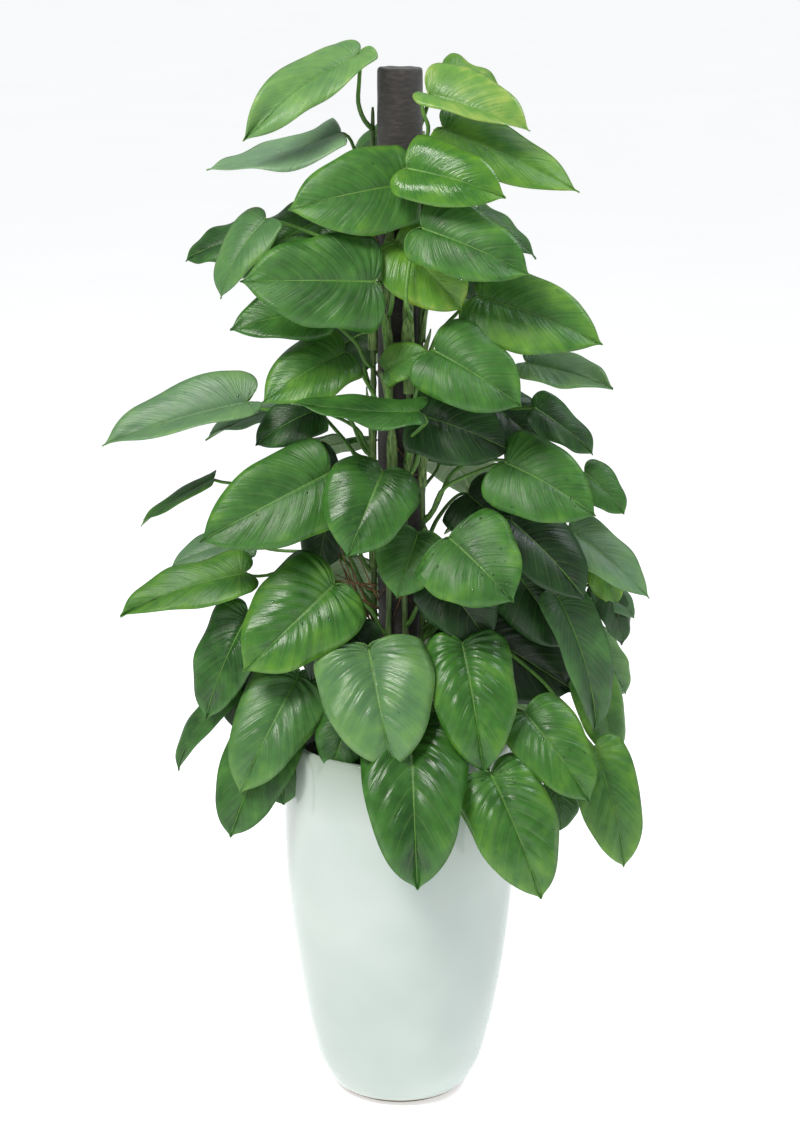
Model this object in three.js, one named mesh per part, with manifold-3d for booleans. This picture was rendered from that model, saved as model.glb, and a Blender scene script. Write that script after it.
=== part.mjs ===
// Potted climbing philodendron on a wrapped pole. Millimetres, +Z up, the origin at the centre of
// the pot's foot, the side with most leaves turned to -Y. Bearings are degrees round the pole,
// counted from -Y towards +X.
import * as THREE from 'three';
import Module from 'manifold-3d';

// ---- sizes that drive the shape ----
const GAP = 0.5;

// Pot: a tall glazed planter, turned on a wheel.
const POT_HEIGHT = 560;
const POT_BELLY_RADIUS = 173;
const POT_WALL = 12;
const POT_FLOOR = 22;
const POT_SIDES = 36;
// [share of the belly radius, share of the height] up the outside, foot to lip
const POT_CURVE = [
  [0.43, 0], [0.52, 0.004], [0.61, 0.025], [0.69, 0.071], [0.775, 0.161], [0.865, 0.295],
  [0.935, 0.446], [0.983, 0.607], [1, 0.768], [1, 0.87], [0.983, 0.955], [0.968, 0.99],
];

// Soil fills the pot to below the lip.
const SOIL_DROP = 44;

// Pole: a round wooden post in a sleeve of dark coir cloth that folds over its top. Its rise is
// counted from the lip of the pot.
const POLE_RISE = 975;
const POLE_RADIUS = 33;
const WRAP_THICKNESS = 6;
const POLE_SIDES = 28;

// Vines climb the sleeve, rooted in the soil.
const VINE_RADIUS = 5;
const ROOT_DEPTH = 60;
const VINE_STEP = 62;
const VINE_SWAY = 5;
const VINES = {
  left: { bearing: -85, rise: 922 },
  frontLeft: { bearing: -22, rise: 764 },
  front: { bearing: 14, rise: 770 },
  right: { bearing: 55, rise: 888 },
  back: { bearing: 172, rise: 880 },
};

// Leaf stalk and blade.
const STALK_RADIUS = 3.6;
const STALK_END_RADIUS = 2.6;
const STALK_GAP = 0.4;
const STALK_BEND = 18;
const STALK_LEAN = 50;
const BLADE_THICKNESS = 2.4;
const EDGE_CURL = 0.1;
const ARCH = 22;
const CUP = 0.08;

// The heart-shaped outline from the lobes to the drip tip. At each rib: how far along the blade
// its middle lies, how far its ends are swept back towards the stalk, and the half width there.
const OUTLINE = [
  { along: 0.02, swept: 0.15, half: 0.6 },
  { along: 0.12, swept: 0.11, half: 0.9 },
  { along: 0.3, swept: 0.06, half: 1 },
  { along: 0.52, swept: 0.03, half: 0.96 },
  { along: 0.74, swept: 0.01, half: 0.76 },
  { along: 0.9, swept: 0, half: 0.4 },
  { along: 1, swept: 0, half: 0.015 },
];

// Every leaf: the vine it grows on and the height it joins it, where its stalk meets the blade,
// where its tip hangs, its full width, and the way its upper side faces [bearing, lift].
// Some also say how far the midrib arches, how far the blade cups or twists along its length, or
// a point their stalk passes over. Heights count from the lip. The places suit a pole and a pot of
// the sizes in LAID_OUT_FOR: they spread with the radii and climb with the pole's rise. At the lip
// they go by the pot's radius, and more and more by the pole's up to DRAPE_BELOW + LIP_REACH.
const LAID_OUT_FOR = { pole: 33, rise: 975, belly: 173 };
const DRAPE_BELOW = 180;
const LIP_REACH = 120;
const LEAVES = [
  { on: 'left', joins: 895, base: [-60, -20, 990], tip: [-215, -95, 880], width: 110,
    faces: [0, 42], arch: 26, twist: -60 },
  { on: 'left', joins: 815, base: [-85, -10, 885], tip: [-270, -40, 840], width: 110,
    faces: [0, 75], arch: -8 },
  { on: 'frontLeft', joins: 750, base: [10, -65, 820], tip: [-155, -110, 790], width: 125,
    faces: [0, 22], arch: 14 },
  { on: 'back', joins: 790, base: [-20, 70, 880], tip: [-75, 125, 825], width: 95,
    faces: [-60, 50] },
  { on: 'right', joins: 875, base: [40, -45, 940], tip: [180, -75, 895], width: 100,
    faces: [0, 58], cup: 0.5, arch: 8 },
  { on: 'back', joins: 860, base: [70, 50, 960], tip: [160, 90, 900], width: 95,
    faces: [30, 45] },
  { on: 'right', joins: 810, base: [60, -50, 895], tip: [250, -70, 810], width: 95,
    faces: [10, 42], arch: 6 },
  { on: 'right', joins: 750, base: [10, -100, 845], tip: [145, -135, 810], width: 100,
    faces: [5, 28], cup: 0.15, arch: 14, over: [65, -75, 790] },
  { on: 'front', joins: 625, base: [30, -115, 765], tip: [180, -145, 705], width: 110,
    faces: [0, 25], over: [5, -130, 615], arch: 14 },
  { on: 'frontLeft', joins: 635, base: [-5, -65, 740], tip: [90, -90, 645], width: 115,
    faces: [0, 25] },
  { on: 'right', joins: 570, base: [110, -50, 660], tip: [285, -90, 600], width: 120,
    faces: [10, 30], arch: 12 },
  { on: 'back', joins: 680, base: [115, 50, 765], tip: [200, 60, 700], width: 65,
    faces: [60, 35], arch: 8 },
  { on: 'left', joins: 665, base: [-190, -20, 765], tip: [-255, -40, 655], width: 90,
    faces: [-40, 40] },
  { on: 'left', joins: 635, base: [-215, 60, 730], tip: [-315, 80, 695], width: 80,
    faces: [-20, 50], arch: 12 },
  { on: 'left', joins: 690, base: [-120, 30, 755], tip: [-235, 10, 675], width: 95,
    faces: [-10, 40] },
  { on: 'frontLeft', joins: 590, base: [-35, -110, 690], tip: [-220, -140, 695], width: 140,
    faces: [0, 20], arch: 10 },
  { on: 'left', joins: 555, base: [-110, -30, 635], tip: [-240, -60, 615], width: 90,
    faces: [-5, 40], arch: 14 },
  { on: 'frontLeft', joins: 485, base: [-80, -45, 580], tip: [-195, -85, 515], width: 105,
    faces: [-10, 38], arch: 14 },
  { on: 'left', joins: 425, base: [-220, -10, 500], tip: [-430, -30, 445], width: 105,
    faces: [0, 60], cup: 0.5, arch: 6 },
  { on: 'left', joins: 380, base: [-140, 45, 490], tip: [-290, 55, 440], width: 75,
    faces: [0, 72], arch: 4 },
  { on: 'front', joins: 425, base: [25, -120, 510], tip: [-150, -140, 530], width: 90,
    faces: [0, 75], arch: -8 },
  { on: 'frontLeft', joins: 335, base: [-100, -70, 410], tip: [-285, -115, 320], width: 135,
    faces: [-5, 22], arch: 8 },
  { on: 'frontLeft', joins: 300, base: [-25, -90, 415], tip: [-75, -150, 305], width: 130,
    faces: [0, 20] },
  { on: 'front', joins: 500, base: [50, -95, 590], tip: [170, -135, 520], width: 125,
    faces: [5, 25], arch: 14 },
  { on: 'right', joins: 470, base: [180, -20, 560], tip: [305, -40, 530], width: 90,
    faces: [0, 66], cup: 0.2, arch: 5 },
  { on: 'back', joins: 395, base: [195, 0, 490], tip: [285, 10, 420], width: 65,
    faces: [10, 40], arch: 12 },
  { on: 'right', joins: 335, base: [150, -65, 425], tip: [280, -100, 355], width: 125,
    faces: [10, 28], arch: 16 },
  { on: 'right', joins: 235, base: [70, -110, 325], tip: [160, -165, 245], width: 150,
    faces: [5, 20], over: [80, -70, 285] },
  { on: 'frontLeft', joins: 240, base: [25, -70, 320], tip: [-5, -110, 235], width: 100,
    faces: [0, 20] },
  { on: 'right', joins: 255, base: [160, -50, 335], tip: [270, -80, 225], width: 110,
    faces: [20, 32], arch: 14 },
  { on: 'right', joins: 205, base: [245, -10, 315], tip: [365, -30, 215], width: 85,
    faces: [25, 40], arch: 8 },
  { on: 'left', joins: 300, base: [-275, 45, 375], tip: [-390, 65, 305], width: 50,
    faces: [0, 74], arch: 4 },
  { on: 'left', joins: 220, base: [-225, -40, 255], tip: [-410, -60, 200], width: 90,
    faces: [-5, 52], arch: 12 },
  { on: 'frontLeft', joins: 165, base: [-95, -70, 245], tip: [-225, -125, 130], width: 140,
    faces: [0, 20], arch: 12 },
  { on: 'left', joins: 120, base: [-220, -50, 195], tip: [-285, -70, 40], width: 100,
    faces: [-20, 20] },
  { on: 'left', joins: 40, base: [-245, -20, 70], tip: [-335, -20, -55], width: 60,
    faces: [-50, 30] },
  { on: 'frontLeft', joins: 60, base: [-145, -60, 110], tip: [-235, -130, -55], width: 120,
    faces: [-5, 20] },
  { on: 'frontLeft', joins: -10, base: [-185, -70, 25], tip: [-250, -110, -130], width: 110,
    faces: [-10, 15], over: [-140, -55, 65] },
  { on: 'frontLeft', joins: 90, base: [-45, -105, 160], tip: [-10, -190, 0], width: 155,
    faces: [0, 15] },
  { on: 'front', joins: 95, base: [90, -100, 165], tip: [120, -175, -10], width: 125,
    faces: [5, 15] },
  { on: 'front', joins: -20, base: [15, -125, 50], tip: [25, -235, -165], width: 140,
    faces: [0, 15], arch: 38 },
  { on: 'right', joins: -25, base: [130, -160, -10], tip: [205, -200, -190], width: 130,
    faces: [10, 15], over: [110, -130, 40] },
  { on: 'right', joins: 30, base: [180, -110, 65], tip: [275, -160, -55], width: 110,
    faces: [10, 20] },
  { on: 'right', joins: 80, base: [285, -60, -5], tip: [335, -80, -190], width: 100,
    faces: [15, 20], over: [180, -50, 120] },
  { on: 'right', joins: 155, base: [230, -45, 220], tip: [290, -60, 15], width: 85,
    faces: [30, 25], cup: 0.3 },
  { on: 'back', joins: 60, base: [280, 35, 130], tip: [345, 55, 40], width: 80,
    faces: [20, 30], arch: 12 },
  { on: 'back', joins: 720, base: [-45, 120, 805], tip: [-120, 245, 710], width: 125,
    faces: [200, 30] },
  { on: 'back', joins: 620, base: [70, 110, 710], tip: [130, 240, 610], width: 130,
    faces: [160, 30] },
  { on: 'back', joins: 460, base: [-50, 120, 550], tip: [-150, 260, 460], width: 130,
    faces: [200, 30] },
  { on: 'back', joins: 300, base: [60, 120, 390], tip: [120, 270, 290], width: 135,
    faces: [165, 30] },
  { on: 'back', joins: 140, base: [-40, 120, 230], tip: [-60, 260, 100], width: 140,
    faces: [185, 25] },
];

// ---- sizes that follow ----
const SOIL_TOP = POT_HEIGHT - SOIL_DROP;
const POLE_TOP = POT_HEIGHT + POLE_RISE;
const CLIMB = (POLE_RISE - DRAPE_BELOW) / (LAID_OUT_FOR.rise - DRAPE_BELOW);
const POLE_FOOT = POT_FLOOR + GAP;
const CORE_RADIUS = POLE_RADIUS - WRAP_THICKNESS - GAP;
const VINE_ORBIT = POLE_RADIUS + VINE_RADIUS + GAP;

const UP = new THREE.Vector3(0, 0, 1);

function around(bearing, radius, height) {
  const turn = THREE.MathUtils.degToRad(bearing);
  return new THREE.Vector3(radius * Math.sin(turn), -radius * Math.cos(turn), height);
}

function facing(bearing, lift) {
  const rise = THREE.MathUtils.degToRad(lift);
  return around(bearing, Math.cos(rise), Math.sin(rise));
}

function squared(vector, along) {
  return vector.clone().addScaledVector(along, -vector.dot(along)).normalize();
}

function material(colour, roughness) {
  return new THREE.MeshStandardMaterial({ color: colour, roughness, metalness: 0 });
}

const GLAZE = material('#dbe3dc', 0.2);
const EARTH = material('#2b241e', 0.9);
const WOOD = material('#8a6a48', 0.75);
const COIR = material('#3a3431', 0.9);
const STEM = material('#5f8a3c', 0.5);
const LEAF = material('#4c8a35', 0.4);

// ---- closed solids ----
// Joins rings of equally many points into one closed skin, capped at both ends. Every other pair
// of strips is split along the other diagonal, so a blade's two faces crease alike.
function loft(rings) {
  const sides = rings[0].length;
  const points = rings.flat().flatMap((point) => [point.x, point.y, point.z]);
  const faces = [];
  for (let side = 1; side < sides - 1; side += 1) {
    faces.push(0, side + 1, side);
    const last = (rings.length - 1) * sides;
    faces.push(last, last + side, last + side + 1);
  }
  for (let ring = 0; ring < rings.length - 1; ring += 1) {
    for (let side = 0; side < sides; side += 1) {
      const here = ring * sides + side;
      const next = ring * sides + (side + 1) % sides;
      if (Math.floor(side / 2) % 2 === 0) {
        faces.push(here, next, next + sides, here, next + sides, here + sides);
      } else {
        faces.push(here, next, here + sides, next, next + sides, here + sides);
      }
    }
  }
  const geometry = new THREE.BufferGeometry();
  geometry.setAttribute('position', new THREE.Float32BufferAttribute(points, 3));
  geometry.setIndex(faces);
  return geometry;
}

// Turns a closed outline of [radius, height] about the Z axis.
function turned(outline, sides) {
  const points = outline.map(([radius, height]) => new THREE.Vector2(radius, height));
  const geometry = new THREE.LatheGeometry(points, sides);
  geometry.rotateX(Math.PI / 2);
  return geometry;
}

function outerRadius(height) {
  const share = height / POT_HEIGHT;
  const above = POT_CURVE.findIndex(([, level]) => level > share);
  const [lowRadius, low] = POT_CURVE[above - 1];
  const [highRadius, high] = POT_CURVE[above];
  const blend = (share - low) / (high - low);
  return POT_BELLY_RADIUS * (lowRadius + (highRadius - lowRadius) * blend);
}

function innerRadius(height) {
  return outerRadius(height) - POT_WALL;
}

function pot() {
  const outside = POT_CURVE.map(([share, level]) => [POT_BELLY_RADIUS * share, POT_HEIGHT * level]);
  const lip = [
    [innerRadius(POT_HEIGHT * 0.985) + POT_WALL * 0.75, POT_HEIGHT],
    [innerRadius(POT_HEIGHT * 0.985) + POT_WALL * 0.2, POT_HEIGHT],
  ];
  const inside = [0.985, 0.955, 0.87, 0.768, 0.607, 0.446, 0.295, 0.161, 0.08]
    .map((level) => [innerRadius(POT_HEIGHT * level), POT_HEIGHT * level]);
  const floor = [[innerRadius(POT_FLOOR * 1.5) - POT_WALL, POT_FLOOR], [0, POT_FLOOR]];
  return turned([[0, 0], ...outside, ...lip, ...inside, ...floor], POT_SIDES);
}

// The soil is a ring round the pole, with a hole where each vine is planted.
function soil(wasm) {
  const hole = POLE_RADIUS + GAP;
  const levels = [0.87, 0.768, 0.607, 0.446, 0.295, 0.161, 0.08];
  const sides = levels.map((level) => [innerRadius(POT_HEIGHT * level) - GAP, POT_HEIGHT * level]);
  const top = innerRadius(SOIL_TOP) - GAP;
  const ring = [
    [hole, SOIL_TOP + 6],
    [hole, POT_FLOOR + GAP],
    [innerRadius(POT_FLOOR * 1.5) - POT_WALL - GAP, POT_FLOOR + GAP],
    ...sides.reverse(),
    [top, SOIL_TOP],
    [top * 0.72, SOIL_TOP + 3],
    [hole, SOIL_TOP + 6],
  ];
  let body = solid(turned(ring, POT_SIDES), wasm);
  for (const vine of Object.values(VINES)) {
    const foot = around(vine.bearing, VINE_ORBIT, SOIL_TOP - ROOT_DEPTH - GAP);
    const wide = 2 * (VINE_RADIUS + GAP);
    const reach = VINE_ORBIT - POLE_RADIUS / 2 + wide / 2;
    const slot = new THREE.BoxGeometry(wide, reach, 2 * ROOT_DEPTH);
    slot.translate(0, -POLE_RADIUS / 2 - reach / 2, foot.z + ROOT_DEPTH);
    slot.rotateZ(THREE.MathUtils.degToRad(vine.bearing));
    body = body.subtract(solid(slot, wasm));
  }
  return geometryOf(body);
}

function solid(geometry, wasm) {
  const position = geometry.getAttribute('position');
  const seen = new Map();
  const corners = [];
  const slotOf = [];
  for (let i = 0; i < position.count; i += 1) {
    const place = [position.getX(i), position.getY(i), position.getZ(i)];
    const key = place.map((value) => Math.round(value * 1e4)).join(' ');
    if (!seen.has(key)) {
      seen.set(key, corners.length / 3);
      corners.push(...place);
    }
    slotOf.push(seen.get(key));
  }
  const faces = [];
  const index = Array.from(geometry.getIndex().array, (i) => slotOf[i]);
  for (let i = 0; i < index.length; i += 3) {
    const [a, b, c] = index.slice(i, i + 3);
    if (a !== b && b !== c && c !== a) {
      faces.push(a, b, c);
    }
  }
  return new wasm.Manifold(new wasm.Mesh({
    numProp: 3,
    vertProperties: new Float32Array(corners),
    triVerts: new Uint32Array(faces),
  }));
}

function geometryOf(body) {
  const mesh = body.getMesh();
  const geometry = new THREE.BufferGeometry();
  geometry.setAttribute('position', new THREE.Float32BufferAttribute(mesh.vertProperties, 3));
  geometry.setIndex(Array.from(mesh.triVerts));
  return geometry;
}

// The post and its sleeve.
function core() {
  const top = POLE_TOP - WRAP_THICKNESS - GAP;
  return turned([[0, POLE_FOOT], [CORE_RADIUS, POLE_FOOT], [CORE_RADIUS, top], [0, top]], POLE_SIDES);
}

function wrap() {
  const fold = WRAP_THICKNESS / 3;
  return turned([
    [0, POLE_TOP - WRAP_THICKNESS],
    [CORE_RADIUS + GAP, POLE_TOP - WRAP_THICKNESS],
    [CORE_RADIUS + GAP, POLE_FOOT],
    [POLE_RADIUS, POLE_FOOT],
    [POLE_RADIUS, POLE_TOP - fold],
    [POLE_RADIUS - fold, POLE_TOP],
    [0, POLE_TOP],
  ], POLE_SIDES);
}

// ---- vines and leaves ----
// The height of a place on this pole, from its listed height over the lip.
function climbed(height) {
  return POT_HEIGHT + height + Math.max(0, height - DRAPE_BELOW) * (CLIMB - 1);
}

// A vine stands straight in the soil, then sways a little to either side as it climbs.
function vinePoint(vine, height) {
  const climb = Math.max(0, height - SOIL_TOP);
  const sway = VINE_SWAY * Math.sin(climb / 95 + vine.bearing) * Math.min(1, climb / 120);
  return around(vine.bearing + sway, VINE_ORBIT, height);
}

function vineRadius(vine, height) {
  const foot = SOIL_TOP - ROOT_DEPTH;
  return VINE_RADIUS * (1 - 0.35 * (height - foot) / (climbed(vine.rise) - foot));
}

function circle(centre, along, sideways, radius, sides) {
  const across = new THREE.Vector3().crossVectors(along, sideways);
  const ring = [];
  for (let i = 0; i < sides; i += 1) {
    const turn = 2 * Math.PI * i / sides;
    ring.push(centre.clone()
      .addScaledVector(sideways, radius * Math.cos(turn))
      .addScaledVector(across, radius * Math.sin(turn)));
  }
  return ring;
}

function vine(spec) {
  const foot = SOIL_TOP - ROOT_DEPTH;
  const length = climbed(spec.rise) - foot;
  const steps = Math.round(length / VINE_STEP);
  const rings = [];
  for (let i = 0; i <= steps; i += 1) {
    const height = foot + length * i / steps;
    const sideways = around(spec.bearing, 1, 0);
    rings.push(circle(vinePoint(spec, height), UP, sideways, vineRadius(spec, height), 8));
  }
  return loft(rings);
}

// One rib of the blade: eight points, upper side first, the sharp edges at the third and seventh.
function rib(centre, along, normal, reach, sweep, cup, thickness) {
  const side = new THREE.Vector3().crossVectors(along, normal);
  const place = (share, level) => {
    const out = Math.abs(share);
    const lift = reach * (cup * out - EDGE_CURL * out * out);
    return centre.clone()
      .addScaledVector(side, reach * share)
      .addScaledVector(along, -sweep * out)
      .addScaledVector(normal, lift + level);
  };
  const half = thickness / 2;
  return [
    place(0, half), place(0.5, half * 0.7), place(1, 0), place(0.5, -half * 0.7),
    place(0, -half), place(-0.5, -half * 0.7), place(-1, 0), place(-0.5, half * 0.7),
  ];
}

// Where a listed place ends up on this pole and pot.
function placed([x, y, height]) {
  const high = THREE.MathUtils.clamp(height / (DRAPE_BELOW + LIP_REACH), 0, 1);
  const byPot = POT_BELLY_RADIUS / LAID_OUT_FOR.belly;
  const spread = THREE.MathUtils.lerp(byPot, POLE_RADIUS / LAID_OUT_FOR.pole, high);
  return new THREE.Vector3(x * spread, y * spread, climbed(height));
}

function leaf(spec) {
  const base = placed(spec.base);
  const tip = placed(spec.tip);
  const chord = tip.clone().sub(base);
  const length = chord.length();
  chord.normalize();
  const normal = squared(facing(...spec.faces), chord);
  const arch = THREE.MathUtils.degToRad(spec.arch ?? ARCH);
  const cup = spec.cup ?? CUP;
  const lean = (angle) => chord.clone().multiplyScalar(Math.cos(angle))
    .addScaledVector(normal, Math.sin(angle));
  const midrib = new THREE.CubicBezierCurve3(
    base,
    base.clone().addScaledVector(lean(arch), length / 3),
    tip.clone().addScaledVector(lean(-arch), -length / 3),
    tip,
  );

  // The stalk leaves the vine upwards and outwards, and meets the midrib from below at a bend.
  const stem = VINES[spec.on];
  const axis = vinePoint(stem, climbed(spec.joins));
  const outward = around(stem.bearing, 1, 0);
  const aim = squared(base.clone().sub(axis), UP);
  aim.addScaledVector(outward, Math.max(0.15, 0.6 - aim.dot(outward))).normalize();
  const reach = vineRadius(stem, axis.z) + STALK_RADIUS + STALK_GAP;
  const foot = axis.clone().addScaledVector(aim, reach);
  const rise = base.distanceTo(foot) * 0.33;
  const start = UP.clone().addScaledVector(aim, 0.55).normalize();
  const path = [
    foot,
    foot.clone().addScaledVector(start, rise),
    base.clone().addScaledVector(lean(arch + THREE.MathUtils.degToRad(STALK_LEAN)), -STALK_BEND),
    base,
  ];
  if (spec.over) {
    path.splice(2, 0, placed(spec.over));
  }
  const stalk = new THREE.CatmullRomCurve3(path, false, 'centripetal');

  const bladeRings = OUTLINE.map(({ along, swept, half }) => {
    const turn = THREE.MathUtils.degToRad((spec.twist ?? 0) * (along - 0.4));
    const heading = midrib.getTangent(along);
    const up = squared(normal, heading).applyAxisAngle(heading, turn);
    const reach = Math.max(1.2, spec.width / 2 * half);
    const thin = BLADE_THICKNESS * (1 - 0.6 * along);
    return rib(midrib.getPoint(along), heading, up, reach, swept * length, cup, thin);
  });

  const stalkRings = [];
  let sideways = squared(normal, stalk.getTangent(1));
  for (const share of [0.97, 0.86, 0.6, 0.3, 0]) {
    const heading = stalk.getTangentAt(share);
    sideways = squared(sideways, heading);
    const radius = STALK_RADIUS + (STALK_END_RADIUS - STALK_RADIUS) * share;
    stalkRings.unshift(circle(stalk.getPointAt(share), heading, sideways, radius, 8));
  }
  return loft([...stalkRings, ...bladeRings]);
}

// ---- the plant ----
const wasm = await Module();
wasm.setup();

const plant = new THREE.Group();

function add(name, geometry, finish) {
  const mesh = new THREE.Mesh(geometry, finish);
  mesh.name = name;
  plant.add(mesh);
}

add('pot', pot(), GLAZE);
add('soil', soil(wasm), EARTH);
add('pole_core', core(), WOOD);
add('pole_wrap', wrap(), COIR);
Object.entries(VINES).forEach(([name, spec]) => add(`vine_${name}`, vine(spec), STEM));
LEAVES.forEach((spec, i) => add(`leaf_${String(i + 1).padStart(2, '0')}`, leaf(spec), LEAF));

export default plant;
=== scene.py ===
"""Potted climbing philodendron: the look of every piece, in metres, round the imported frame."""
import math
import random

import bmesh
import bpy
import numpy as np
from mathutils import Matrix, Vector, noise


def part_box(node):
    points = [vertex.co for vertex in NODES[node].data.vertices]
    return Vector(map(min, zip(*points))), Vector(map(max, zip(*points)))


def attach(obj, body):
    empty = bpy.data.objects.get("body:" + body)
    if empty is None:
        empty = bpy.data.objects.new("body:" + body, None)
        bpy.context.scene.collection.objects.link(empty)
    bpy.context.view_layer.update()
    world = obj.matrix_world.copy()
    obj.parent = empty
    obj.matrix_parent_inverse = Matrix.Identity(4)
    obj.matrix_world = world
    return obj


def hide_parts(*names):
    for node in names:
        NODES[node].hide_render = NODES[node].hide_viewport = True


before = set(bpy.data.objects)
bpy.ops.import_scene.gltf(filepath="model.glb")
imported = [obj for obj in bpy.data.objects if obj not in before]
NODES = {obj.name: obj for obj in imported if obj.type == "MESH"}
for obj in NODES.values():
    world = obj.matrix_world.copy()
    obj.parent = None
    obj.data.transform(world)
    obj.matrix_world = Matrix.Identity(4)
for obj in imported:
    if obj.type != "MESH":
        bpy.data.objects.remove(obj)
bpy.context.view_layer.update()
bpy.ops.object.select_all(action="DESELECT")
MM = 0.001


# ---------------------------------------------------------------- colours and nodes
def linear(code):
    """An sRGB hex colour as linear RGBA."""
    parts = [int(code[i:i + 2], 16) / 255 for i in (1, 3, 5)]
    return [c / 12.92 if c <= 0.04045 else ((c + 0.055) / 1.055) ** 2.4 for c in parts] + [1.0]


def fill(tree, node, inputs):
    """Sets or links a node's inputs. A node given as a value means its first live output."""
    for name, value in inputs.items():
        if isinstance(value, bpy.types.Node):
            value = next(socket for socket in value.outputs if socket.enabled)
        if isinstance(value, bpy.types.NodeSocket):
            tree.links.new(value, node.inputs[name])
        else:
            node.inputs[name].default_value = value


def put(tree, kind, inputs=None, stops=(), **settings):
    """Adds one node with its settings, its colour stops and its inputs."""
    made = tree.nodes.new("ShaderNode" + kind)
    for name, value in settings.items():
        setattr(made, name, value)
    if stops:
        elements = made.color_ramp.elements
        while len(elements) < len(stops):
            elements.new(0.5)
        for element, (place, colour) in zip(elements, stops):
            element.position = place
            element.color = linear(colour)
    fill(tree, made, inputs or {})
    return made


def new_material(name):
    """A named material, its node tree and its one principled shader."""
    made = bpy.data.materials.new(name)
    made.use_nodes = True
    return made, made.node_tree, made.node_tree.nodes["Principled BSDF"]


# The scale of a noise is 1000 over the size of its patches in millimetres.
VEINS = 11  # side veins in each half of a leaf


def leaf_plan(tree):
    """What both skins of a leaf follow: its tone, the place, how far from the midrib, and a
    wave that is 0 on each side vein."""
    tone = put(tree, "Attribute", attribute_name="tone").outputs["Fac"]
    place = put(tree, "TexCoord").outputs["Object"]
    flat = put(tree, "SeparateXYZ", {0: put(tree, "UVMap", uv_map="UVMap")})
    across = put(tree, "Math", {0: flat.outputs["X"], 1: 2.0, 2: -1.0}, operation="MULTIPLY_ADD")
    across = put(tree, "Math", {0: across}, operation="ABSOLUTE")
    wave = put(tree, "Math", {0: flat.outputs["Y"], 1: VEINS}, operation="MULTIPLY")
    wave = put(tree, "Math", {0: wave, 1: 0.5}, operation="PINGPONG")
    return tone, place, across, wave


# Living leaf, upper side: a waxed green skin. Wax gives a broad soft shine, the veins are
# paler, and the skin between them is quilted, with painted shade in the grooves by the veins.
def leaf_upper():
    made, tree, shader = new_material("leaf_skin_upper")
    tone, place, across, wave = leaf_plan(tree)
    grey = put(tree, "Attribute", attribute_name="grey").outputs["Fac"]
    wax = put(tree, "Attribute", attribute_name="wax").outputs["Fac"]
    patches = put(tree, "TexNoise", {"Vector": place, "Scale": 1000 / 42, "Detail": 3.0})
    blotches = put(tree, "TexNoise", {"Vector": place, "Scale": 1000 / 14, "Detail": 2.0})
    # Fine veins run with the side veins, 2 to 3 mm apart, and are never quite even.
    combed = put(tree, "Mapping", {"Vector": put(tree, "UVMap", uv_map="UVMap"),
                                   "Scale": (2.6, 52.0, 1.0)})
    combed = put(tree, "VectorMath", {0: combed, 1: place}, operation="ADD")
    fine = put(tree, "TexNoise", {"Vector": combed, "Scale": 1.0, "Detail": 3.0,
                                  "Roughness": 0.6})
    edge = put(tree, "Math", {0: across, 1: 4.0}, operation="POWER")
    # Patches, fine veins and edge vary the shade about the tone. The wave adds painted shade, darker
    # in the grooves by the side veins and lighter on the quilted skin between. The -0.485 takes off
    # their mean.
    shade = put(tree, "Math", {0: tone, 1: -0.485}, operation="ADD")
    for part, share in ((patches, 0.56), (blotches, 0.16), (fine, 0.2), (edge, 0.12),
                        (wave, 0.1)):
        shade = put(tree, "Math", {0: part, 1: share, 2: shade}, operation="MULTIPLY_ADD")
    colour = put(tree, "ValToRGB", {"Fac": shade}, [
        (0.0, "#0d270a"), (0.25, "#1c4315"), (0.5, "#386925"), (0.74, "#5c8a29"),
        (1.0, "#a0b048")])
    colour = put(tree, "Mix", {0: grey, 6: colour, 7: linear("#86a08c")}, data_type="RGBA")
    # Side veins, hardly paler than the skin, and the midrib, which is.
    near = put(tree, "Math", {0: wave, 1: -11.0, 2: 1.0}, operation="MULTIPLY_ADD",
               use_clamp=True)
    inside = put(tree, "Math", {0: 1.0, 1: edge}, operation="SUBTRACT", use_clamp=True)
    side_vein = put(tree, "Math", {0: near, 1: inside}, operation="MULTIPLY")
    side_vein = put(tree, "Math", {0: side_vein, 1: 0.1}, operation="MULTIPLY")
    midrib = put(tree, "Math", {0: across, 1: -28.0, 2: 1.4}, operation="MULTIPLY_ADD",
                 use_clamp=True)
    midrib = put(tree, "Math", {0: midrib, 1: 0.42}, operation="MULTIPLY")
    vein = put(tree, "Math", {0: side_vein, 1: midrib}, operation="MAXIMUM")
    colour = put(tree, "Mix", {0: vein, 6: colour, 7: linear("#8fb35c")}, data_type="RGBA")
    # A few brown specks of age.
    specks = put(tree, "TexNoise", {"Vector": place, "Scale": 1000 / 4.6, "Detail": 1.0})
    dots = put(tree, "Math", {0: specks, 1: 14.0, 2: -10.4}, operation="MULTIPLY_ADD",
               use_clamp=True)
    dots = put(tree, "Math", {0: dots, 1: 0.45}, operation="MULTIPLY")
    colour = put(tree, "Mix", {0: dots, 6: colour, 7: linear("#26240f")}, data_type="RGBA")
    gloss = put(tree, "Math", {0: patches, 1: 0.3, 2: 0.27}, operation="MULTIPLY_ADD")
    gloss = put(tree, "Math", {0: wax, 1: -0.24, 2: gloss}, operation="MULTIPLY_ADD")
    height = put(tree, "Math", {0: vein, 1: -0.6, 2: fine}, operation="MULTIPLY_ADD")
    bump = put(tree, "Bump", {"Height": height, "Strength": 0.85, "Distance": 0.0014})
    fill(tree, shader, {"Base Color": colour, "Roughness": gloss, "Normal": bump, "IOR": 1.43})
    return made


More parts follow.
